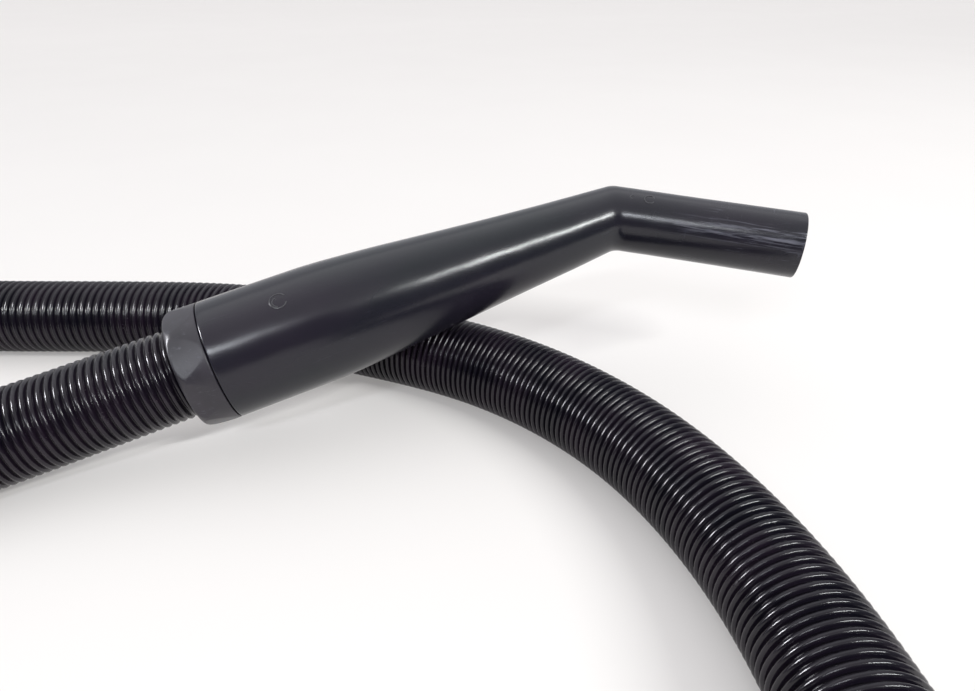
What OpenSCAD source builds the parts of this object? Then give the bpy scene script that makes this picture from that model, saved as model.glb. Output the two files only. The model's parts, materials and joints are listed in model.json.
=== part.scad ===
// Vacuum cleaner hose lying on a table: a bent hand wand, a swivel cuff at each end
// of a ribbed hose, and a latching connector that plugs into the machine.
// The z axis is up, z = 0 is the table, all sizes are in millimetres.

/* [Wand] */
// Outside diameter of the wand's straight tip
tip_d = 32; // [31.6:0.1:32.2]
// Bore of the wand's straight tip
tip_bore_d = 26.8; // [25:0.1:27]
// Length of the tip beyond the elbow
tip_len = 92; // [85:1:100]
// Length of the tapered grip, from the seam to the elbow
grip_len = 206; // [200:1:215]
// Angle between the grip and the tip
bend_angle = 40; // [30:1:42]

/* [Swivel joint] */
// Outside diameter of the cuffs and of the grip's wide end
cuff_d = 56; // [55.6:0.1:56]
// Length of a cuff's visible collar
cuff_len = 15; // [14:0.5:16]
// Number of flats cut around a cuff
cuff_flats = 8; // [4:1:8]
// Diameter of the socket that a cuff's spigot turns in
socket_d = 49.2; // [49:0.1:49.4]
// Radial running clearance of the swivel
swivel_gap = 0.08; // [0.05:0.01:0.1]
// Bore that the hose's end is bonded into
hose_socket_d = 42.4; // [42.2:0.1:42.6]

/* [Hose] */
// Outside diameter over the hose's ribs
hose_d = 42; // [41:0.5:42]

/* [Machine connector] */
// Outside diameter of the spigot that enters the machine
spigot_d = 35; // [34:0.5:35.5]
// Bore of the connector
spigot_bore_d = 29; // [27:0.5:29]
// Length of the spigot beyond the latch collar
spigot_len = 40; // [36:1:45]
// How far a latch button moves when it is pressed
latch_travel = 2.2; // [1.8:0.1:2.2]

/* [Lay on the table] */
// Rise of the grip towards the tip, in degrees
grip_tilt = 12; // [12:1:14]
// Roll of the bend below level, in degrees
bend_roll = 20; // [0:1:30]

/* [Hidden] */
$fn = 96;

wand_color = [0.22, 0.22, 0.25];
cuff_color = [0.27, 0.26, 0.29];
hose_color = [0.07, 0.07, 0.08];
ring_color = [0.80, 0.80, 0.76];
seal_color = [0.05, 0.05, 0.05];
button_color = [0.40, 0.41, 0.44];
steel_color = [0.70, 0.71, 0.74];

// Where the two ends lie
seam = [-132, 207, 45];
grip_axis = [cos(grip_tilt), 0, sin(grip_tilt)];
machine_mouth = [-16, -119, 28];
machine_heading = -112;
machine_axis = [cos(machine_heading), sin(machine_heading), 0];
hose_depth = 25;

// Swivel joint, measured along the axis from the seam
cuff_r = cuff_d / 2;
socket_r = socket_d / 2;
spigot_r = socket_r - swivel_gap;
seam_gap = 0.3;
socket_depth = 34;
cuff_spigot_len = 31;
air_r = 18.5;
rim_round = 4;
flat_depth = 1.7;
flat_angle = 7;
flat_turn = 3.5;
ring_start = 20;
ring_slot = 3;
ring_side_gap = 0.3;
ring_r = socket_r + 1.15;
ring_floor_r = socket_r - 1.3;
ring_split = 4;
seal_start = 26;
seal_slot = 3;
seal_floor_r = socket_r - 1.7;
break_edge = 0.5;

// Wand
grip_bore_r = 23.4;
grip_straight = 52;
elbow_r = tip_d / 2 + 0.2;
elbow_bore_r = tip_bore_d / 2 - 0.2;
mitre_reach = 8;
grip_end = 190;
mitre_overlap = 0.02;
tip_straight = 50;
taper = [[30, 26], [61, 23.2], [92, 20.5], [123, 18.2], [grip_len - grip_straight - 7, elbow_r]];
bore_taper = [[30, 22.8], [61, 20.2], [92, 17.5], [123, 15.2],
              [grip_len - grip_straight - 7, elbow_bore_r]];

// Machine connector, measured along its axis from its seam
body_len = 36;
collar_r = 25.5;
collar_end = 62;
seal_seat_r = spigot_d / 2 + 0.3;
seal_seat_len = 3;
bore_start = 41;
pocket_mid = 50.5;
pocket_len = 14;
pocket_w = 14;
pocket_floor = 16.8;
lip_r = 23.4;
window_w = 11.4;
slide_gap = 0.3;
flange_r = 21.8;
button_top_r = 27.7;
tongue_w = 6;
tongue_end = 68;
hook_len = 3;
hook_r = 25.2;
coil_r = 2.2;
coil_wire = 0.6;
coil_turns = 3.5;

// Free lay of the hose: centre points from the wand's cuff to the machine's cuff
lay = [[-210, 207, 28.5], [-240, 204, 24], [-270, 195.5, 21.5], [-302, 182, 21],
       [-352, 157, 21], [-396, 135, 21], [-432, 120, 21], [-489, 106, 21],
       [-547, 110, 21], [-600, 133, 21], [-643, 173, 21], [-670, 224, 21],
       [-679, 281, 21], [-670, 338, 21], [-643, 389, 21], [-600, 429, 21],
       [-547, 452, 21], [-489, 456, 21], [-432, 442, 21], [-386, 417, 21],
       [-340, 392, 21], [-297, 368, 21], [-255, 349, 21], [-213, 332.5, 21],
       [-170, 315.5, 21], [-126, 295, 21], [-86, 268.5, 21], [-48, 236.5, 21],
       [-13, 201, 21], [14, 160, 21], [31, 115, 21], [37, 67, 21.5],
       [33, 19, 22.5], [20, -27, 25], [3, -71, 27.5]];
start_run = [for (s = [hose_depth - cuff_len, -20, -50]) seam + s * grip_axis];
end_run = [for (s = [-12, hose_depth]) machine_mouth + s * machine_axis];
route = concat(start_run, lay, end_run);
hose_sides = 12;

// Frame of the wand's swivel: z along the grip, x towards the inside of the bend
module at_seam() {
    translate(seam) rotate([0, 90 - grip_tilt, 0]) children();
}

// Frame of the machine's swivel: z towards the machine, -x up
module at_machine() {
    translate(machine_mouth + cuff_len * machine_axis)
        rotate([0, 90, machine_heading]) children();
}

// Everything beyond a plane that crosses the axis at z = height, leaning towards +x
module beyond(height, lean) {
    translate([0, 0, height]) rotate([0, lean, 0])
        translate([-60, -60, 0]) cube(120);
}

// Ring of rectangular section
module flat_ring(inner, outer, low, high) {
    rotate_extrude() polygon([[inner, low], [outer, low], [outer, high], [inner, high]]);
}

// Outline of the swivel socket's inside, from deep inside to its mouth
function socket_outline(depth, bore) = [
    [bore, depth + 1.2], [socket_r, depth],
    [socket_r, ring_start + ring_slot - 0.25],
    [ring_r + 0.05, ring_start + ring_slot - 0.25],
    [ring_r + 0.05, ring_start + 0.25],
    [socket_r, ring_start + 0.25],
    [socket_r, break_edge], [socket_r + break_edge, 0]];

module grip_shell() {
    outer = concat(
        [[cuff_r - break_edge, 0], [cuff_r, break_edge], [cuff_r, grip_straight]],
        [for (p = taper) [p[1], grip_straight + p[0]]],
        [[elbow_r, grip_len + mitre_reach]]);
    inner = concat(
        [[elbow_bore_r, grip_len + mitre_reach]],
        [for (i = [len(bore_taper) - 1:-1:0]) [bore_taper[i][1], grip_straight + bore_taper[i][0]]],
        [[grip_bore_r, grip_straight + 18]],
        socket_outline(socket_depth, grip_bore_r));
    difference() {
        rotate_extrude() polygon(concat(outer, inner));
        beyond(grip_len, bend_angle / 2);
    }
}

module tip_shell() {
    tip_r = tip_d / 2;
    bore_r = tip_bore_d / 2;
    bore_from = tip_len - tip_straight;
    difference() {
        rotate_extrude() polygon([
            [elbow_bore_r, -mitre_reach], [elbow_r, -mitre_reach], [elbow_r, 6],
            [tip_r, bore_from - break_edge], [tip_r, tip_len - break_edge],
            [tip_r - break_edge, tip_len], [bore_r, tip_len], [bore_r, bore_from],
            [elbow_bore_r, bore_from - 8]]);
        rotate([0, 180 - bend_angle / 2, 0])
            translate([-60, -60, mitre_overlap]) cube(120);
    }
}

// The grip and the bend are one moulding, in two nodes that meet at a flat face
module at_wand() {
    color(wand_color) at_seam() rotate([0, 0, bend_roll - 90]) children();
}

module wand_grip() {
    at_wand() difference() {
        grip_shell();
        translate([-60, -60, grip_end]) cube(120);
    }
}

module wand_bend() {
    at_wand() {
        difference() {
            grip_shell();
            translate([-60, -60, -10]) cube([120, 120, grip_end + 10]);
        }
        translate([0, 0, grip_len]) rotate([0, bend_angle, 0]) tip_shell();
    }
}

// Swivel cuff: collar with flats, and a spigot with slots for the lock ring and the seal
module cuff() {
    rim = [for (a = [0:15:90])
        [cuff_r - rim_round + rim_round * sin(a), -cuff_len + rim_round - rim_round * cos(a)]];
    hose_r = hose_socket_d / 2;
    difference() {
        rotate_extrude() polygon(concat(
            [[hose_r, -cuff_len + break_edge], [hose_r + break_edge, -cuff_len]],
            rim,
            [[cuff_r, -seam_gap - break_edge], [cuff_r - break_edge, -seam_gap],
             [spigot_r, -seam_gap],
             [spigot_r, ring_start], [ring_floor_r, ring_start],
             [ring_floor_r, ring_start + ring_slot], [spigot_r, ring_start + ring_slot],
             [spigot_r, seal_start], [seal_floor_r, seal_start],
             [seal_floor_r, seal_start + seal_slot], [spigot_r, seal_start + seal_slot],
             [spigot_r, cuff_spigot_len - break_edge], [spigot_r - break_edge, cuff_spigot_len],
             [air_r, cuff_spigot_len], [air_r, hose_depth - cuff_len],
             [hose_r, hose_depth - cuff_len]]));
        for (i = [0:cuff_flats - 1])
            rotate([0, 0, flat_turn + i * 360 / cuff_flats])
                translate([cuff_r - flat_depth, -30, -cuff_len])
                    rotate([0, flat_angle, 0]) translate([0, 0, -20]) cube([20, 60, 60]);
    }
}

module lock_ring() {
    difference() {
        flat_ring(ring_floor_r + 0.08, ring_r, ring_start + ring_side_gap,
                  ring_start + ring_slot - ring_side_gap);
        translate([0, -ring_split / 2, ring_start]) cube([30, ring_split, ring_slot]);
    }
}

module swivel_seal() {
    flat_ring(seal_floor_r, socket_r - 0.05, seal_start, seal_start + seal_slot);
}

module handle_cuff() {
    color(cuff_color) at_seam() cuff();
}

module handle_lock_ring() {
    color(ring_color) at_seam() lock_ring();
}

module handle_seal() {
    color(seal_color) at_seam() swivel_seal();
}

module machine_cuff() {
    color(cuff_color) at_machine() cuff();
}

module machine_lock_ring() {
    color(ring_color) at_machine() lock_ring();
}

module machine_seal() {
    color(seal_color) at_machine() swivel_seal();
}

// Tube swept along a list of centre points, with its rings kept upright
module swept_tube(points, r, sides) {
    n = len(points);
    rings = [for (i = [0:n - 1])
        let (ahead = points[min(i + 1, n - 1)] - points[max(i - 1, 0)],
             along = ahead / norm(ahead),
             side = cross([0, 0, 1], along) / norm(cross([0, 0, 1], along)),
             up = cross(along, side))
        for (k = [0:sides - 1])
            points[i] + r * (cos(360 * k / sides) * side + sin(360 * k / sides) * up)];
    walls = [for (i = [0:n - 2]) for (k = [0:sides - 1])
        [i * sides + k, (i + 1) * sides + k,
         (i + 1) * sides + (k + 1) % sides, i * sides + (k + 1) % sides]];
    first = [for (k = [0:sides - 1]) k];
    last = [for (k = [sides - 1:-1:0]) (n - 1) * sides + k];
    polyhedron(points = rings, faces = concat([first], walls, [last]), convexity = 8);
}

module hose() {
    color(hose_color) swept_tube(route, hose_d / 2, hose_sides);
}

// Cut-out for one latch button, on the +x side
module latch_pocket() {
    low = pocket_mid - pocket_len / 2;
    translate([pocket_floor, -pocket_w / 2, low]) cube([lip_r - pocket_floor, pocket_w, pocket_len]);
    translate([lip_r - 1, -window_w / 2, low]) cube([10, window_w, pocket_len]);
    translate([flange_r - latch_travel - slide_gap, -tongue_w / 2 - slide_gap, pocket_mid])
        cube([lip_r - flange_r + latch_travel + 2 * slide_gap, tongue_w + 2 * slide_gap, 20]);
}

module machine_connector() {
    spigot_r_out = spigot_d / 2;
    bore_r = spigot_bore_d / 2;
    tip = collar_end + spigot_len;
    color(wand_color) at_machine() difference() {
        rotate_extrude() polygon(concat(
            [[cuff_r - break_edge, 0], [cuff_r, break_edge], [cuff_r, body_len - 5],
             [collar_r, body_len], [collar_r, collar_end - break_edge],
             [collar_r - break_edge, collar_end], [seal_seat_r, collar_end],
             [seal_seat_r, collar_end + seal_seat_len], [spigot_r_out, collar_end + seal_seat_len],
             [spigot_r_out, tip - break_edge], [spigot_r_out - break_edge, tip],
             [bore_r, tip], [bore_r, bore_start]],
            socket_outline(socket_depth, grip_bore_r)));
        for (turn = [0, 180]) rotate([0, 0, turn]) latch_pocket();
    }
}

module inlet_seal() {
    color(seal_color) at_machine()
        flat_ring(seal_seat_r, seal_seat_r + 1.5, collar_end, collar_end + seal_seat_len - 0.4);
}

// Latch button on the +x side: thumb pad, flange that the collar's lips hold, and hook
module latch_button() {
    low = pocket_mid - pocket_len / 2 + slide_gap;
    long = pocket_len - 2 * slide_gap;
    flange_w = pocket_w - 2 * slide_gap;
    head_w = window_w - 2 * slide_gap;
    flange_top = lip_r - slide_gap;
    union() {
        translate([flange_r, -flange_w / 2, low]) cube([flange_top - flange_r, flange_w, long]);
        translate([flange_r, -head_w / 2, low]) cube([button_top_r - flange_r, head_w, long]);
        translate([flange_r, -tongue_w / 2, pocket_mid + coil_r + 1])
            cube([flange_top - flange_r, tongue_w, tongue_end - pocket_mid - coil_r - 1]);
        translate([0, tongue_w / 2, tongue_end - hook_len]) rotate([90, 0, 0])
            linear_extrude(tongue_w)
                polygon([[flange_r, 0], [hook_r, 0], [hook_r, 1], [flange_top, hook_len], [flange_r, hook_len]]);
    }
}

module latch_button_top() {
    color(button_color) at_machine() rotate([0, 0, 180]) latch_button();
}

module latch_button_bottom() {
    color(button_color) at_machine() latch_button();
}

// Coil spring standing on the pocket's floor under a button
module latch_spring() {
    steps = 14;
    tall = flange_r - pocket_floor - slide_gap;
    rise = tall - coil_wire;
    wire_r = coil_wire / 2;
    sides = 6;
    count = steps * coil_turns;
    points = [for (i = [0:count]) for (k = [0:sides - 1])
        let (a = 360 * i / steps, b = 360 * k / sides,
             flat = min(1, max(0, (i / steps - 0.75) / (coil_turns - 1.5))))
        [(coil_r + wire_r * cos(b)) * cos(a), (coil_r + wire_r * cos(b)) * sin(a),
         wire_r + rise * flat + wire_r * sin(b)]];
    walls = [for (i = [0:count - 1]) for (k = [0:sides - 1])
        [i * sides + k, i * sides + (k + 1) % sides,
         (i + 1) * sides + (k + 1) % sides, (i + 1) * sides + k]];
    first = [for (k = [sides - 1:-1:0]) k];
    last = [for (k = [0:sides - 1]) count * sides + k];
    translate([pocket_floor, 0, pocket_mid]) rotate([0, 90, 0])
        polyhedron(points = points, faces = concat([first], walls, [last]), convexity = 6);
}

module latch_spring_top() {
    color(steel_color) at_machine() rotate([0, 0, 180]) latch_spring();
}

module latch_spring_bottom() {
    color(steel_color) at_machine() latch_spring();
}

wand_grip();
wand_bend();
handle_cuff();
handle_lock_ring();
handle_seal();
hose();
machine_cuff();
machine_lock_ring();
machine_seal();
machine_connector();
inlet_seal();
latch_button_top();
latch_button_bottom();
latch_spring_top();
latch_spring_bottom();
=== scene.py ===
"""Vacuum cleaner hose lying on a table: a bent hand wand on a ribbed hose."""
import json
import math
import bmesh
import bpy
import numpy as np
from mathutils import Matrix, Vector


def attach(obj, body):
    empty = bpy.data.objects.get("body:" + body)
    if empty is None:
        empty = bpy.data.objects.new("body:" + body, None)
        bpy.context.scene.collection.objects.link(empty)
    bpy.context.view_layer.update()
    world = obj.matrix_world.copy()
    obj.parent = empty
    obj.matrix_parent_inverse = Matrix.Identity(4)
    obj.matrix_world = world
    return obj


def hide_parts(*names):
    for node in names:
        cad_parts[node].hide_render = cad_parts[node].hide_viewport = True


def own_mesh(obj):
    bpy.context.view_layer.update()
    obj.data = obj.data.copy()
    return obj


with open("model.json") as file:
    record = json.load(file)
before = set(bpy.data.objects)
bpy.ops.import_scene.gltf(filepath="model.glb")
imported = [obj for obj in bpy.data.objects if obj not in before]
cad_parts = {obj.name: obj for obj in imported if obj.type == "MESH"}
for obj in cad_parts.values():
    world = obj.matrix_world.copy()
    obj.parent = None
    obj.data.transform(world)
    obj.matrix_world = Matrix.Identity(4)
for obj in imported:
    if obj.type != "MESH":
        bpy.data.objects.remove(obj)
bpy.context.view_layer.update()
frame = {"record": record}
MM = 0.001

# Constants are in millimetres and radians, or in metres where a name ends in _M


# ---------------------------------------------------------------- places from the frame

def hinge(name):
    """Centre and unit axis of one of the frame's hinges, in metres."""
    for joint in frame["record"]["behaviour"]["joints"]:
        if joint["name"] == name:
            return Vector(joint["pos_m"]), Vector(joint["axis"]).normalized()
    raise KeyError(name)


def swivel_frame(origin, axis, roll):
    """Matrix with z along a swivel's axis, and x turned about it from straight down."""
    down = Vector((0, 0, -1))
    x = (down - down.dot(axis) * axis).normalized()
    y = axis.cross(x)
    turned = math.cos(roll) * x + math.sin(roll) * y
    m = Matrix((turned, axis.cross(turned), axis)).transposed().to_4x4()
    m.translation = origin
    return m


# A seam is where the wand or the connector meets its cuff, on the swivel's axis
SEAM, GRIP_AXIS = hinge("wand_swivel")
MACHINE_SEAM, MACHINE_AXIS = hinge("machine_swivel")
CUFF_LEN = 15
GRIP_LEN = 206
TIP_LEN = 92
BEND = math.radians(40)
# How far below level the bend turns the tip, about the grip's axis
BEND_ROLL = math.radians(20)
WAND = swivel_frame(SEAM, GRIP_AXIS, BEND_ROLL - math.pi / 2)
TIP = WAND @ Matrix.Translation((0, 0, GRIP_LEN * MM)) @ Matrix.Rotation(BEND, 4, "Y")
WAND_CUFF = swivel_frame(SEAM, GRIP_AXIS, 0)
MACHINE = swivel_frame(MACHINE_SEAM, MACHINE_AXIS, 0)


# ---------------------------------------------------------------- camera

CAMERA_BESIDE_SEAM_M = (0.0212, -0.2903)
CAMERA_HEIGHT_M = 0.2055
CAMERA_HEADING = math.radians(69.13)
CAMERA_PITCH = math.radians(30.14)
SENSOR_WIDTH = 36
LENS = 24.7
NEAREST_SEEN_M = 0.01


def make_camera():
    """Camera over the table in front of the wand, looking down at it."""
    beside_x, beside_y = CAMERA_BESIDE_SEAM_M
    stand = Vector((SEAM.x + beside_x, SEAM.y + beside_y, CAMERA_HEIGHT_M))
    heading = Vector((math.cos(CAMERA_HEADING), math.sin(CAMERA_HEADING), 0))
    look = heading * math.cos(CAMERA_PITCH) - Vector((0, 0, math.sin(CAMERA_PITCH)))
    data = bpy.data.cameras.new("camera")
    data.sensor_width = SENSOR_WIDTH
    data.lens = LENS
    data.clip_start = NEAREST_SEEN_M
    camera = bpy.data.objects.new("camera", data)
    turn = look.to_track_quat("-Z", "Y").to_matrix().to_4x4()
    camera.matrix_world = Matrix.Translation(stand) @ turn
    bpy.context.scene.collection.objects.link(camera)
    bpy.context.scene.camera = camera


# ---------------------------------------------------------------- mesh helpers

def add_mesh(name, verts, faces, sharp=35, moulded=None):
    """New object with outward faces, smooth shading, and hard edges only at steep angles.

    moulded is each vertex's place on the straightened part, for its material's grain."""
    mesh = bpy.data.meshes.new(name)
    mesh.from_pydata([tuple(v) for v in verts], [], [tuple(f) for f in faces])
    work = bmesh.new()
    work.from_mesh(mesh)
    bmesh.ops.recalc_face_normals(work, faces=work.faces)
    work.to_mesh(mesh)
    work.free()
    mesh.shade_smooth()
    mesh.set_sharp_from_angle(angle=math.radians(sharp))
    if moulded is not None:
        layer = mesh.attributes.new("moulded", "FLOAT_VECTOR", "POINT")
        layer.data.foreach_set("vector", np.asarray(moulded, dtype=np.float32).ravel())
    obj = bpy.data.objects.new(name, mesh)
    bpy.context.scene.collection.objects.link(obj)
    return obj


def loft(rings, closed=True):
    """Vertices and faces of a skin over rings of equal count. A closed skin joins its ends."""
    rings = np.asarray(rings)
    count, n = rings.shape[:2]
    rows = np.arange(count if closed else count - 1)
    a = (rows * n)[:, None]
    b = (((rows + 1) % count) * n)[:, None]
    k = np.arange(n)[None, :]
    m = (k + 1) % n
    faces = np.stack(np.broadcast_arrays(a + k, a + m, b + m, b + k), axis=-1)
    return rings.reshape(-1, 3), faces.reshape(-1, 4).tolist()


def placed(matrix, points_mm):
    """Points in millimetres in a local frame, as points in metres in the row's frame."""
    m = np.array(matrix)
    return np.asarray(points_mm) * MM @ m[:3, :3].T + m[:3, 3]


def around(radius, height, turns):
    """Ring of points about z. radius and height may be one value or one for each turn."""
    radius = np.broadcast_to(radius, turns.shape)
    height = np.broadcast_to(height, turns.shape)
    return np.stack([radius * np.cos(turns), radius * np.sin(turns), height], axis=1)


def arc(cx, cy, r, start, end, steps=4):
    """Points of a round corner in an outline of (radius, height), angles in degrees."""
    angles = [math.radians(start + (end - start) * i / steps) for i in range(steps + 1)]
    return [(cx + r * math.cos(a), cy + r * math.sin(a)) for a in angles]


# ---------------------------------------------------------------- hose

# Centre points of the hose between its two cuffs, as in the CAD model
LAY_MM = [(-210, 207, 28.5), (-240, 204, 24), (-270, 195.5, 21.5), (-302, 182, 21),
          (-352, 157, 21), (-396, 135, 21), (-432, 120, 21), (-489, 106, 21),
          (-547, 110, 21), (-600, 133, 21), (-643, 173, 21), (-670, 224, 21),
          (-679, 281, 21), (-670, 338, 21), (-643, 389, 21), (-600, 429, 21),
          (-547, 452, 21), (-489, 456, 21), (-432, 442, 21), (-386, 417, 21),
          (-340, 392, 21), (-297, 368, 21), (-255, 349, 21), (-213, 332.5, 21),
          (-170, 315.5, 21), (-126, 295, 21), (-86, 268.5, 21), (-48, 236.5, 21),
          (-13, 201, 21), (14, 160, 21), (31, 115, 21), (37, 67, 21.5),
          (33, 19, 22.5), (20, -27, 25), (3, -71, 27.5)]
HOSE_R = 21
HOSE_BORE_R = 17.5
# How deep the hose sits in a cuff
HOSE_DEPTH = 25
# Where the hose runs straight: on the wand's axis, measured from its seam, and on the
# connector's axis, measured from its cuff's mouth
WAND_END_STRAIGHT = (HOSE_DEPTH - CUFF_LEN, -20, -50)
MACHINE_END_STRAIGHT = (-12, HOSE_DEPTH)
RIB_DEPTH = 2.2
RIB_WIDTH = 2.7
# The most of the pitch that a rib may fill where the ribs lie close
RIB_SHARE = 0.8
HOSE_SIDES = 44
BORE_RINGS = 120
CENTRE_LINE_STEPS = 20000
CORD_PATH_POINTS = 500
# How far apart the ribs lie at places along the hose, because it stretches as it is laid
RIB_PITCH = [(0, 3.5), (200, 3.4), (1100, 3.4), (1190, 4.3), (1320, 4.3), (1420, 3.2),
             (1520, 3.25), (1640, 3.4), (2000, 3.4)]


def route_points():
    """The hose's centre points, from inside the wand's cuff to inside the machine's."""
    mouth = MACHINE_SEAM - CUFF_LEN * MM * MACHINE_AXIS
    start = [SEAM + s * MM * GRIP_AXIS for s in WAND_END_STRAIGHT]
    end = [mouth + s * MM * MACHINE_AXIS for s in MACHINE_END_STRAIGHT]
    return start + [Vector(p) * MM for p in LAY_MM] + end


def smooth_curve(points):
    """Natural cubic spline through points, as a function of distance along their chords."""
    p = np.array([tuple(v) for v in points])
    t = np.concatenate(([0], np.cumsum(np.linalg.norm(np.diff(p, axis=0), axis=1))))
    h = np.diff(t)
    n = len(p)
    a = np.zeros((n, n))
    rhs = np.zeros((n, 3))
    a[0, 0] = a[-1, -1] = 1
    for i in range(1, n - 1):
        a[i, i - 1:i + 2] = h[i - 1], 2 * (h[i - 1] + h[i]), h[i]
        rhs[i] = 6 * ((p[i + 1] - p[i]) / h[i] - (p[i] - p[i - 1]) / h[i - 1])
    m = np.linalg.solve(a, rhs)

    def at(u):
        i = np.clip(np.searchsorted(t, u) - 1, 0, n - 2)
        lo, hi, w = (t[i + 1] - u)[:, None], (u - t[i])[:, None], h[i][:, None]
        curved = (m[i] * lo ** 3 + m[i + 1] * hi ** 3) / (6 * w)
        return curved + (p[i] / w - m[i] * w / 6) * lo + (p[i + 1] / w - m[i + 1] * w / 6) * hi

    return at, t[-1]


class Route:
    """The hose's centre line, by distance along it in millimetres."""

    def __init__(self, points):
        at, end = smooth_curve(points)
        self.fine = at(np.linspace(0, end, CENTRE_LINE_STEPS))
        steps = np.linalg.norm(np.diff(self.fine, axis=0), axis=1)
        self.run = np.concatenate(([0], np.cumsum(steps))) / MM
        self.length = self.run[-1]
        self.ahead = np.gradient(self.fine, axis=0)

    def centre(self, s):
        return np.stack([np.interp(s, self.run, self.fine[:, k]) for k in range(3)], axis=-1)

    def rings(self, stations, radii, sides):
        """Upright rings round the centre line, one for each station and radius."""
        centre = self.centre(stations)
        along = np.stack([np.interp(stations, self.run, self.ahead[:, k]) for k in range(3)],
                         axis=1)
        along /= np.linalg.norm(along, axis=1)[:, None]
        side = np.cross((0, 0, 1), along)
        side /= np.linalg.norm(side, axis=1)[:, None]
        up = np.cross(along, side)
        a = np.arange(sides) * 2 * math.pi / sides
        spoke = np.cos(a)[None, :, None] * side[:, None] + np.sin(a)[None, :, None] * up[:, None]
        return centre[:, None] + (radii * MM)[:, None, None] * spoke


def rib_outline(length):
    """Stations and radii along the hose's skin: a round bead for each rib, and a flat valley."""
    where, pitches = zip(*RIB_PITCH)
    stations, radii = [0.0], [HOSE_R - RIB_DEPTH]
    at = 1.0
    while at < length - RIB_WIDTH:
        pitch = float(np.interp(at, where, pitches))
        width = min(RIB_WIDTH, RIB_SHARE * pitch)
        for a in range(-90, 91, 30):
            bead = math.cos(math.radians(a))
            stations.append(at + pitch / 2 + width / 2 * math.sin(math.radians(a)))
            radii.append(HOSE_R - RIB_DEPTH * (1 - bead))
        at += pitch
    stations.append(length)
    radii.append(HOSE_R - RIB_DEPTH)
    return np.array(stations), np.array(radii)


def make_hose():
    """Ribbed skin over a smooth bore, held in the two cuffs."""
    route = Route(route_points())
    stations, radii = rib_outline(route.length)
    back = np.linspace(route.length, 0, BORE_RINGS)
    skin = route.rings(stations, radii, HOSE_SIDES)
    bore = route.rings(back, np.full(len(back), float(HOSE_BORE_R)), HOSE_SIDES)
    verts, faces = loft(np.concatenate([skin, bore]))
    obj = add_mesh("ribbed_hose", verts, faces, sharp=89)
    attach(obj, "hose")
    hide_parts("hose")
    path = route.centre(np.linspace(0, route.length, CORD_PATH_POINTS))
    return obj


# ---------------------------------------------------------------- wand

# Radii of the grip, outside and inside, at distances from the seam
GRIP_R = [(0, 28), (52, 28), (82, 26), (113, 23.2), (144, 20.5), (175, 18.2), (208, 16.2)]
BORE_R = [(35.2, 23.4), (70, 23.4), (82, 22.8), (113, 20.2), (144, 17.5), (175, 15.2), (199, 13.2)]
# Changes of slope on the grip are blended over this much on each side
SLOPE_BLEND = 8
# The socket that the wand's cuff turns in, and the groove in it for the lock ring
SOCKET_R = 24.6
SOCKET_LEN = 34
GROOVE_R = 25.8
GROOVE_ENDS = (20.25, 22.75)
ELBOW_R = 16.2
ELBOW_BORE_R = 13.2
# Radius on which every line along the outside turns the elbow
ELBOW_ROUND = 9
ELBOW_STEPS = 8
TIP_R = 16
TIP_BORE_R = 13.4
# Distances along the tip, from the elbow, between which its outside narrows to TIP_R
TIP_CONE = (6, 41.5)
# Rings tilt from square to the grip to square to the tip between these places
FAN_START = 176
FAN_END = 17
GRIP_EDGE = 0.8
SOCKET_EDGE = 0.6
TIP_EDGE = 0.6
TIP_MOUTH_EDGE = 0.5
RING_STEP = 4
WAND_SIDES = 144
WAND_TURNS = np.arange(WAND_SIDES) * 2 * math.pi / WAND_SIDES


def grip_radius(s):
    """Outside radius of the grip, with its changes of slope blended over a short length."""
    where, radii = zip(*GRIP_R)
    reach = SLOPE_BLEND * min(1, max(0, (where[-1] - s) / (2 * SLOPE_BLEND)))
    return float(np.mean(np.interp(s + np.linspace(-reach, reach, 9), where, radii)))


def tip_radius(w):
    """Outside radius of the tip, which is slightly conical up to its straight end."""
    return float(np.interp(w, TIP_CONE, (ELBOW_R, TIP_R)))


def wand_outside():
    """Rings of the wand's outside skin, each with its points on the straightened wand."""
    half = math.tan(BEND / 2)
    turns = WAND_TURNS
    rings, flat = [], []

    def add(matrix, points, distance):
        rings.append(placed(matrix, points))
        distance = np.broadcast_to(distance, turns.shape)
        flat.append(np.stack([points[:, 0], points[:, 1], distance], axis=1))

    for r, s in arc(GRIP_R[0][1] - GRIP_EDGE, GRIP_EDGE, GRIP_EDGE, -90, 0):
        add(WAND, around(r, s, turns), s)
    for s in list(range(3, FAN_START, RING_STEP)) + [FAN_START]:
        add(WAND, around(grip_radius(s), s, turns), s)
    u = ELBOW_R * np.cos(turns)
    v = ELBOW_R * np.sin(turns)
    reach = ELBOW_ROUND * half
    before = GRIP_LEN - u * half - reach
    after = u * half + reach
    for part in (0.2, 0.4, 0.6, 0.8):
        s = FAN_START + part * (before - FAN_START)
        radius = grip_radius(FAN_START) + part * (ELBOW_R - grip_radius(FAN_START))
        add(WAND, around(radius, s, turns), s)
    for i in range(ELBOW_STEPS + 1):
        a = BEND * i / ELBOW_STEPS
        across = u + ELBOW_ROUND * (1 - math.cos(a))
        points = np.stack([across, v, before + ELBOW_ROUND * math.sin(a)], axis=1)
        add(WAND, points, GRIP_LEN - u * half * (1 - 2 * i / ELBOW_STEPS))
    for part in (0.2, 0.5, 1):
        w = after + part * (FAN_END - after)
        add(TIP, around(ELBOW_R if part < 1 else tip_radius(FAN_END), w, turns), GRIP_LEN + w)
    for w in range(FAN_END + RING_STEP, TIP_LEN - 3, RING_STEP):
        add(TIP, around(tip_radius(w), w, turns), GRIP_LEN + w)
    for r, w in arc(TIP_R - TIP_EDGE, TIP_LEN - TIP_EDGE, TIP_EDGE, 0, 90):
        add(TIP, around(r, w, turns), GRIP_LEN + w)
    return rings, flat


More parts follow.
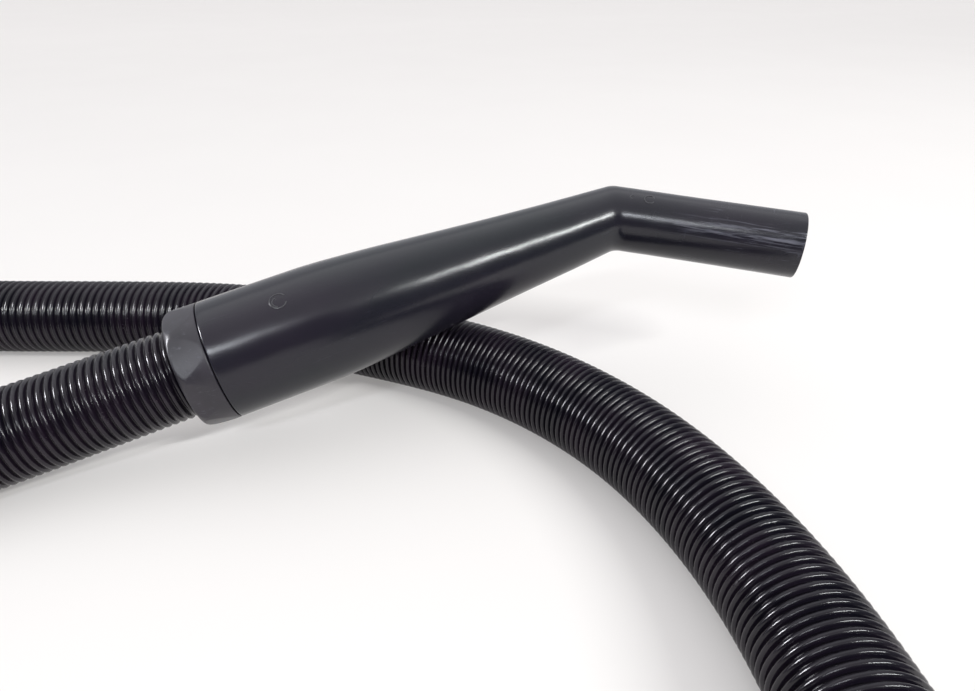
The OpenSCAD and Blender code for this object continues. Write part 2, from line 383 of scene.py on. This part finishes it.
def wand_inside():
    """Rings of the wand's inside, from the tip's mouth back to the swivel socket's mouth."""
    turns = WAND_TURNS
    half = math.tan(BEND / 2)
    u = ELBOW_BORE_R * np.cos(turns)
    tip = arc(TIP_BORE_R + TIP_MOUTH_EDGE, TIP_LEN - TIP_MOUTH_EDGE, TIP_MOUTH_EDGE, 90, 180)
    tip += [(TIP_BORE_R, 42), (ELBOW_BORE_R, 34), (ELBOW_BORE_R, 8)]
    groove_start, groove_end = GROOVE_ENDS
    socket = [(SOCKET_R, SOCKET_LEN), (SOCKET_R, groove_end), (GROOVE_R, groove_end),
              (GROOVE_R, groove_start), (SOCKET_R, groove_start)]
    grip = [(r, s) for s, r in reversed(BORE_R)] + socket
    grip += arc(SOCKET_R + SOCKET_EDGE, SOCKET_EDGE, SOCKET_EDGE, 180, 270)
    rings = [placed(TIP, around(r, w, turns)) for r, w in tip]
    rings.append(placed(WAND, around(ELBOW_BORE_R, GRIP_LEN - u * half, turns)))
    rings += [placed(WAND, around(r, s, turns)) for r, s in grip]
    flat = [around(r, GRIP_LEN + w, turns) for r, w in tip]
    flat.append(around(ELBOW_BORE_R, GRIP_LEN, turns))
    flat += [around(r, s, turns) for r, s in grip]
    return rings, flat


def make_wand():
    """The wand's outside and inside skins, joined at its two mouths."""
    outside, outside_flat = wand_outside()
    inside, inside_flat = wand_inside()
    verts, faces = loft(outside + inside)
    moulded = np.concatenate(outside_flat + inside_flat) * MM
    obj = add_mesh("wand_shell", verts, faces, sharp=50, moulded=moulded)
    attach(obj, "wand")
    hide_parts("wand_grip", "wand_bend")
    return obj


def wand_surface(distance, turn, lift):
    """Point on the wand's outside. A distance beyond the grip is on the tip."""
    if distance < GRIP_LEN:
        return placed(WAND, around(grip_radius(distance) + lift, distance, np.array([turn])))[0]
    w = distance - GRIP_LEN
    return placed(TIP, around(tip_radius(w) + lift, w, np.array([turn])))[0]


MARK_HALF_WIDTH = 0.34
MARK_SIDES = 8
MARK_STEPS = 44


def ring_mark(name, distance, turn, radius, gap, height):
    """Moulded ring standing a little proud of the wand, with a gap in it, as an ejector pin leaves.

    turn and gap are in degrees. gap is the part that is missing, on the side towards the tip."""
    local_r = grip_radius(distance) if distance < GRIP_LEN else TIP_R
    turn = math.radians(turn)
    first, last = math.radians(gap / 2), math.radians(360 - gap / 2)
    rings = []
    for a in np.linspace(first, last, MARK_STEPS):
        taper = min(1, 8 * (a - first) + 0.25, 8 * (last - a) + 0.25)
        ring = []
        for j in range(MARK_SIDES):
            b = 2 * math.pi * j / MARK_SIDES
            out = radius + MARK_HALF_WIDTH * math.cos(b)
            lift = height * taper * math.sin(b)
            along = distance + out * math.cos(a)
            ring.append(wand_surface(along, turn + out * math.sin(a) / local_r, lift))
        rings.append(ring)
    verts, faces = loft(rings, closed=False)
    end = (len(rings) - 1) * MARK_SIDES
    faces += [tuple(range(MARK_SIDES)), tuple(range(end + MARK_SIDES - 1, end - 1, -1))]
    obj = add_mesh(name, verts, faces)
    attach(obj, "wand")
    return obj


# ---------------------------------------------------------------- latch springs


def make_spring(name, node):
    """The coil between the connector and a latch button.

    It is a copy of the CAD coil's mesh, so that the CAD object itself stays as it is."""
    obj = bpy.data.objects.new(name, bpy.data.objects[node].data.copy())
    bpy.context.scene.collection.objects.link(obj)
    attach(obj, "machine_end")
    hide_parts(node)
    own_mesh(obj)
    return obj


# ---------------------------------------------------------------- cuffs

FLATS = 8
FLAT_TURN = math.radians(3.5)
FLAT_DEPTH = 1.7
FLAT_SLOPE = math.tan(math.radians(7))
# 1 gives a plane flat, and less a crowned one
FLAT_CROWN = 0.85
CUFF_R = 28
CUFF_SIDES = 360
# Distances from the seam between which the collar's side gets its rings, and their spacing
SIDE_RINGS = (-10.4, -1, 0.6)
COLLAR_END = -0.8
# Rounding of the collar's rim on the hose's side, and its edge on the wand's side
RIM_ROUND = 4.8
SEAM_EDGE = 0.5
MOUTH_EDGE = 0.5
# The spigot's outside from the collar to its end and back up its inside, as (radius, distance).
# It has a groove for the lock ring and one for the seal, and a bore with a step for the hose
SPIGOT = [(24.52, -0.3), (24.52, 20), (23.3, 20), (23.3, 23), (24.52, 23), (24.52, 26),
          (22.9, 26), (22.9, 29), (24.52, 29), (24.52, 30.5), (24, 31), (18.5, 31),
          (18.5, 10), (21.2, 10)]


def flat_limit(turns, s):
    """Radius at which the cuff's slightly crowned flats cut its collar."""
    spacing = 2 * math.pi / FLATS
    off = (turns - FLAT_TURN + spacing / 2) % spacing - spacing / 2
    return (CUFF_R - FLAT_DEPTH + (s + CUFF_LEN) * FLAT_SLOPE) / np.cos(FLAT_CROWN * off)


def make_cuff(name, matrix, node):
    """Swivel cuff: a collar with slanting flats, and the spigot that turns in its socket."""
    turns = np.arange(CUFF_SIDES) * 2 * math.pi / CUFF_SIDES
    rim = arc(CUFF_R - RIM_ROUND, -CUFF_LEN + 4, RIM_ROUND, -90, 0, 12)
    rim = [(min(r, CUFF_R), max(s, -CUFF_LEN)) for r, s in rim]
    side = [(CUFF_R, s) for s in np.arange(*SIDE_RINGS)]
    collar = rim + side + arc(CUFF_R - SEAM_EDGE, COLLAR_END, SEAM_EDGE, 0, 90)
    mouth = arc(SPIGOT[-1][0] + MOUTH_EDGE, -CUFF_LEN + MOUTH_EDGE, MOUTH_EDGE, 180, 270)
    rings = []
    for r, s in collar:
        rings.append(placed(matrix, around(np.minimum(r, flat_limit(turns, s)), s, turns)))
    rings += [placed(matrix, around(r, s, turns)) for r, s in SPIGOT + mouth]
    verts, faces = loft(rings)
    obj = add_mesh(name, verts, faces, sharp=40)
    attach(obj, "hose")
    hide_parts(node)
    return obj


# ---------------------------------------------------------------- materials

class Shader:
    """A material's node tree, with short calls to add and join nodes."""

    def __init__(self, name):
        self.material = bpy.data.materials.new(name)
        self.material.use_nodes = True
        self.tree = self.material.node_tree
        self.surface = self.tree.nodes["Principled BSDF"]

    def add(self, kind, **values):
        node = self.tree.nodes.new("ShaderNode" + kind)
        for key, value in values.items():
            if hasattr(node, key):
                setattr(node, key, value)
            else:
                node.inputs[key.replace("_", " ")].default_value = value
        return node

    def join(self, out, into):
        self.tree.links.new(out, into)

    def place(self, scale, moulded=False, offset=(0, 0, 0)):
        """Coordinates in metres times a scale along each axis."""
        if moulded:
            source = self.add("Attribute", attribute_name="moulded").outputs["Vector"]
        else:
            source = self.add("TexCoord").outputs["Object"]
        stretch = self.add("Mapping")
        stretch.inputs["Scale"].default_value = scale
        stretch.inputs["Location"].default_value = offset
        self.join(source, stretch.inputs["Vector"])
        return stretch.outputs["Vector"]

    def noise(self, where, detail=4, roughness=0.55):
        node = self.add("TexNoise", Scale=1.0, Detail=detail, Roughness=roughness)
        self.join(where, node.inputs["Vector"])
        return node.outputs["Fac"]

    def span(self, value, low, high, out_low, out_high):
        """Value from one range to another, held at its ends."""
        node = self.add("MapRange")
        ends = {"From Min": low, "From Max": high, "To Min": out_low, "To Max": out_high}
        for key, number in ends.items():
            node.inputs[key].default_value = number
        self.join(value, node.inputs["Value"])
        return node.outputs["Result"]

    def math(self, operation, a, b):
        node = self.add("Math", operation=operation)
        for socket, value in zip(node.inputs, (a, b)):
            if isinstance(value, (int, float)):
                socket.default_value = value
            else:
                self.join(value, socket)
        return node.outputs["Value"]

    def blend(self, factor, a, b):
        """Colour a where factor is 0, colour b where it is 1."""
        node = self.add("Mix", data_type="RGBA")
        colour_a, colour_b = node.inputs[6], node.inputs[7]
        for socket, value in ((node.inputs["Factor"], factor), (colour_a, a), (colour_b, b)):
            if isinstance(value, tuple):
                socket.default_value = value
            else:
                self.join(value, socket)
        return node.outputs[2]

    def bump(self, height, distance, strength=1.0, under=None):
        node = self.add("Bump", Strength=strength, Distance=distance)
        self.join(height, node.inputs["Height"])
        if under is not None:
            self.join(under, node.inputs["Normal"])
        return node.outputs["Normal"]


def wand_plastic():
    """Charcoal moulded plastic with a satin gloss, rubbed and scratched towards its tip, and a
    painted reflection as lighter streaks on the tip's side that faces up and to the front.
    """
    s = Shader("wand_plastic")
    drift = s.noise(s.place((22, 22, 9), moulded=True), detail=3)
    grain = s.noise(s.place((1500, 1500, 1500), moulded=True), detail=2)
    waves = s.noise(s.place((70, 70, 35), moulded=True), detail=2)
    long_marks = s.noise(s.place((900, 900, 40), moulded=True), detail=4, roughness=0.65)
    cross_marks = s.noise(s.place((60, 60, 1100), moulded=True, offset=(3, 1, 2)), detail=4,
                          roughness=0.65)
    patches = s.noise(s.place((120, 120, 45), moulded=True, offset=(5, 2, 7)), detail=4)
    parts = s.add("SeparateXYZ")
    s.join(s.add("Attribute", attribute_name="moulded").outputs["Vector"], parts.inputs["Vector"])
    along = parts.outputs["Z"]
    near_tip = s.span(along, 0.222, 0.285, 0, 1)
    # Side of the tip that faces half up and half to the front, in radii from the axis, where
    # lighter streaks paint a reflection
    radius_m = TIP_R * MM
    towards = s.math("ADD", s.math("MULTIPLY", parts.outputs["X"], 0.64 / radius_m),
                     s.math("MULTIPLY", parts.outputs["Y"], -0.77 / radius_m))
    sheen_band = s.math("MULTIPLY", s.span(towards, 0.93, 0.985, 0, 1), s.span(along, 0.225, 0.27, 0, 1))
    long_scratch = s.span(long_marks, 0.62, 0.74, 0, 1)
    cross_scratch = s.span(cross_marks, 0.62, 0.76, 0, 1)
    rubbed = s.math("MULTIPLY", s.span(patches, 0.42, 0.6, 0, 1), near_tip)
    wear = s.math("MULTIPLY", rubbed, s.math("MAXIMUM", long_scratch, cross_scratch))
    # Painted reflection: lighter scratch streaks, only on the band that faces up and to the front
    scratch_and_sheen_streaks = s.math("MULTIPLY", sheen_band, s.span(long_marks, 0.5, 0.66, 0, 0.9))
    faint = s.math("MULTIPLY", s.span(patches, 0.5, 0.7, 0, 0.25), long_scratch)
    wear_and_sheen = s.math("MAXIMUM", scratch_and_sheen_streaks, s.math("MAXIMUM", wear, faint))
    body = s.blend(s.span(drift, 0.35, 0.65, 0, 1),
                   (0.008, 0.010, 0.014, 1), (0.013, 0.010, 0.018, 1))
    # Lighter colour for the real scuffs near the tip and for the painted reflection streaks
    colour = s.blend(s.math("MULTIPLY", wear_and_sheen, 0.6), body, (0.20, 0.20, 0.25, 1))
    s.join(colour, s.surface.inputs["Base Color"])
    gloss = s.span(waves, 0.3, 0.7, 0.19, 0.25)
    dull = s.math("ADD", s.math("MULTIPLY", wear_and_sheen, 0.2), s.math("MULTIPLY", rubbed, 0.08))
    s.join(s.math("ADD", gloss, dull), s.surface.inputs["Roughness"])
    skin = s.bump(grain, 0.00002)
    ripple = s.bump(waves, 0.00025, under=skin)
    s.join(s.bump(wear_and_sheen, -0.00003, under=ripple), s.surface.inputs["Normal"])
    s.surface.inputs["IOR"].default_value = 1.46
    return s.material


def plain_plastic(name, light, dark, rough):
    """Moulded plastic or rubber with a fine grain and small changes of shade and gloss."""
    s = Shader(name)
    drift = s.noise(s.place((90, 90, 90)), detail=4)
    fine = s.noise(s.place((1300, 1300, 1300)), detail=2)
    s.join(s.blend(s.span(drift, 0.35, 0.65, 0, 1), dark, light), s.surface.inputs["Base Color"])
    s.join(s.span(drift, 0.3, 0.7, rough - 0.05, rough + 0.06), s.surface.inputs["Roughness"])
    s.join(s.bump(fine, 0.00002), s.surface.inputs["Normal"])
    return s.material


def cuff_plastic():
    """Dark plastic, a little more matt and warmer than the wand, with scratched flats."""
    s = Shader("cuff_plastic")
    drift = s.noise(s.place((60, 60, 60)), detail=3)
    fine = s.noise(s.place((1100, 1100, 1100)), detail=3)
    marks = s.noise(s.place((250, 250, 900)), detail=4, roughness=0.7)
    scratch = s.span(marks, 0.58, 0.72, 0, 1)
    body = s.blend(s.span(drift, 0.35, 0.65, 0, 1),
                   (0.017, 0.015, 0.021, 1), (0.026, 0.022, 0.030, 1))
    colour = s.blend(s.math("MULTIPLY", scratch, 0.3), body, (0.13, 0.13, 0.16, 1))
    s.join(colour, s.surface.inputs["Base Color"])
    s.join(s.math("ADD", s.span(drift, 0.3, 0.7, 0.33, 0.41), s.math("MULTIPLY", scratch, 0.12)),
           s.surface.inputs["Roughness"])
    s.join(s.bump(scratch, -0.00002, under=s.bump(fine, 0.00003)), s.surface.inputs["Normal"])
    return s.material


def hose_plastic():
    """Near-black glossy flexible plastic with a faint dust in places."""
    s = Shader("hose_plastic")
    drift = s.noise(s.place((40, 40, 40)), detail=3)
    dust = s.noise(s.place((420, 420, 420)), detail=5, roughness=0.7)
    soft = s.noise(s.place((700, 700, 700)), detail=2)
    dusty = s.math("MULTIPLY", s.span(dust, 0.6, 0.75, 0, 1), s.span(drift, 0.4, 0.7, 0, 1))
    body = s.blend(s.span(drift, 0.35, 0.65, 0, 1),
                   (0.004, 0.0035, 0.007, 1), (0.011, 0.0065, 0.013, 1))
    colour = s.blend(s.math("MULTIPLY", dusty, 0.12), body, (0.2, 0.19, 0.18, 1))
    s.join(colour, s.surface.inputs["Base Color"])
    s.join(s.math("ADD", s.span(drift, 0.3, 0.7, 0.17, 0.24), s.math("MULTIPLY", dusty, 0.2)),
           s.surface.inputs["Roughness"])
    s.join(s.bump(soft, 0.00003), s.surface.inputs["Normal"])
    s.surface.inputs["IOR"].default_value = 1.42
    return s.material


def spring_steel():
    """Drawn spring wire."""
    s = Shader("spring_steel")
    s.surface.inputs["Metallic"].default_value = 1.0
    drawn = s.noise(s.place((2500, 2500, 900)), detail=3)
    s.join(s.blend(drawn, (0.5, 0.5, 0.52, 1), (0.7, 0.7, 0.72, 1)),
           s.surface.inputs["Base Color"])
    s.join(s.span(drawn, 0.3, 0.7, 0.22, 0.36), s.surface.inputs["Roughness"])
    return s.material


def floor_paper():
    """Pale matt table top with a faint glow of its own, which grows towards the back."""
    s = Shader("floor_paper")
    drift = s.noise(s.place((5, 5, 5)), detail=2)
    s.join(s.blend(drift, (0.580, 0.556, 0.544, 1), (0.604, 0.582, 0.568, 1)),
           s.surface.inputs["Base Color"])
    s.surface.inputs["Roughness"].default_value = 0.75
    s.surface.inputs["IOR"].default_value = 1.15
    parts = s.add("SeparateXYZ")
    s.join(s.place((1, 1, 1)), parts.inputs["Vector"])
    s.surface.inputs["Emission Color"].default_value = (1.0, 0.972, 0.955, 1)
    s.join(s.span(parts.outputs["Y"], 0.2, 2.4, 0.26, 0.34), s.surface.inputs["Emission Strength"])
    return s.material


def dress(obj, material):
    """Give a piece or a CAD node one material all over."""
    if not obj.material_slots:
        obj.data.materials.append(material)
    for slot in obj.material_slots:
        slot.material = material


# ---------------------------------------------------------------- stage

LAMP_AIM_M = (0, 0.15, 0.04)
CEILING_HEIGHT_M = 3
FLOOR_REACH_M = 9


def area_lamp(name, place, length, width, power, color):
    """Rectangular lamp with its long side level, facing the wand. Sizes are in metres."""
    data = bpy.data.lights.new(name, "AREA")
    data.shape = "RECTANGLE"
    data.size = length
    data.size_y = width
    data.energy = power
    data.color = color
    obj = bpy.data.objects.new(name, data)
    aim = (Vector(LAMP_AIM_M) - Vector(place)).normalized()
    x = Vector((1, 0, 0))
    x = (x - x.dot(aim) * aim).normalized()
    turn = Matrix((x, aim.cross(x) * -1, -aim)).transposed().to_4x4()
    obj.matrix_world = Matrix.Translation(place) @ turn
    bpy.context.scene.collection.objects.link(obj)
    return obj


def ceiling_glow(strength, spread):
    """Soft light from the whole ceiling, even all over the table. spread is in degrees."""
    data = bpy.data.lights.new("ceiling", "SUN")
    data.energy = strength
    data.angle = math.radians(spread)
    obj = bpy.data.objects.new("ceiling", data)
    obj.matrix_world = Matrix.Translation((0, 0, CEILING_HEIGHT_M))
    bpy.context.scene.collection.objects.link(obj)


def make_room():
    """Surroundings: bright behind the table, and dim in front of it."""
    world = bpy.data.worlds.new("room")
    world.use_nodes = True
    tree = world.node_tree
    where = tree.nodes.new("ShaderNodeTexCoord")
    parts = tree.nodes.new("ShaderNodeSeparateXYZ")
    back = tree.nodes.new("ShaderNodeMapRange")
    ends = {"From Min": -0.25, "From Max": 0.45, "To Min": 0.14, "To Max": 0.8}
    for key, number in ends.items():
        back.inputs[key].default_value = number
    tree.links.new(where.outputs["Generated"], parts.inputs["Vector"])
    tree.links.new(parts.outputs["Y"], back.inputs["Value"])
    glow = tree.nodes["Background"]
    glow.inputs["Color"].default_value = (0.93, 0.95, 1.0, 1)
    tree.links.new(back.outputs["Result"], glow.inputs["Strength"])
    return world


def make_stage():
    """Floor, lamps and room. The two narrow lamps draw the long glints on the hose and the wand."""
    reach = FLOOR_REACH_M
    corners = [(-reach, -reach, 0), (reach, -reach, 0), (reach, reach, 0), (-reach, reach, 0)]
    floor = add_mesh("floor", corners, [(0, 1, 2, 3)])
    dress(floor, floor_paper())
    area_lamp("lamp_right", (1.0, -1.35, 1.5), length=1.2, width=0.09, power=36,
              color=(0.97, 1.0, 0.99))
    area_lamp("lamp_left", (-1.15, -1.25, 1.5), length=0.9, width=0.14, power=14,
              color=(0.90, 0.94, 1.0))
    gleam = area_lamp("lamp_side", (-1.9, 0.55, 1.0), length=0.5, width=0.4, power=65,
                      color=(0.95, 0.95, 1.0))
    # This lamp shows only as a gleam on the plastic, and adds no light to the floor
    gleam.visible_diffuse = False
    ceiling_glow(1.22, spread=100)
    bpy.context.scene.world = make_room()
    bpy.context.scene.view_settings.view_transform = "Standard"


# ---------------------------------------------------------------- build

make_camera()
hose = make_hose()
wand = make_wand()
marks = [
    ring_mark("grip_mark_outer", 35, turn=-81, radius=3.7, gap=50, height=0.3),
    ring_mark("grip_mark_inner", 34.6, turn=-80, radius=2.3, gap=200, height=0.22),
    ring_mark("tip_mark", GRIP_LEN + 17.5, turn=-88, radius=2.6, gap=60, height=0.28),
    ring_mark("tip_mark_small", GRIP_LEN + 9, turn=-88, radius=1.1, gap=150, height=0.2),
]
cuffs = [make_cuff("wand_cuff", WAND_CUFF, "handle_cuff"),
         make_cuff("connector_cuff", MACHINE, "machine_cuff")]

springs = [make_spring("coil_top", "latch_spring_top"),
           make_spring("coil_bottom", "latch_spring_bottom")]

cuff_look = cuff_plastic()
seal_look = plain_plastic("seal_rubber", light=(0.022, 0.022, 0.022, 1),
                          dark=(0.014, 0.014, 0.014, 1), rough=0.6)
ring_look = plain_plastic("ring_plastic", light=(0.74, 0.73, 0.69, 1),
                          dark=(0.66, 0.65, 0.61, 1), rough=0.42)
button_look = plain_plastic("button_plastic", light=(0.15, 0.15, 0.17, 1),
                            dark=(0.12, 0.12, 0.14, 1), rough=0.45)
connector_look = plain_plastic("connector_plastic", light=(0.036, 0.034, 0.040, 1),
                               dark=(0.027, 0.028, 0.033, 1), rough=0.33)
mark_look = plain_plastic("mark_plastic", light=(0.036, 0.034, 0.040, 1),
                          dark=(0.030, 0.030, 0.036, 1), rough=0.3)
steel_look = spring_steel()

dress(hose, hose_plastic())
dress(wand, wand_plastic())
for mark in marks:
    dress(mark, mark_look)
for cuff in cuffs:
    dress(cuff, cuff_look)
for spring in springs:
    dress(spring, steel_look)
NODE_LOOKS = {"handle_lock_ring": ring_look, "machine_lock_ring": ring_look,
              "handle_seal": seal_look, "machine_seal": seal_look, "inlet_seal": seal_look,
              "machine_connector": connector_look,
              "latch_button_top": button_look, "latch_button_bottom": button_look}
for node, look in NODE_LOOKS.items():
    dress(bpy.data.objects[node], look)

make_stage()
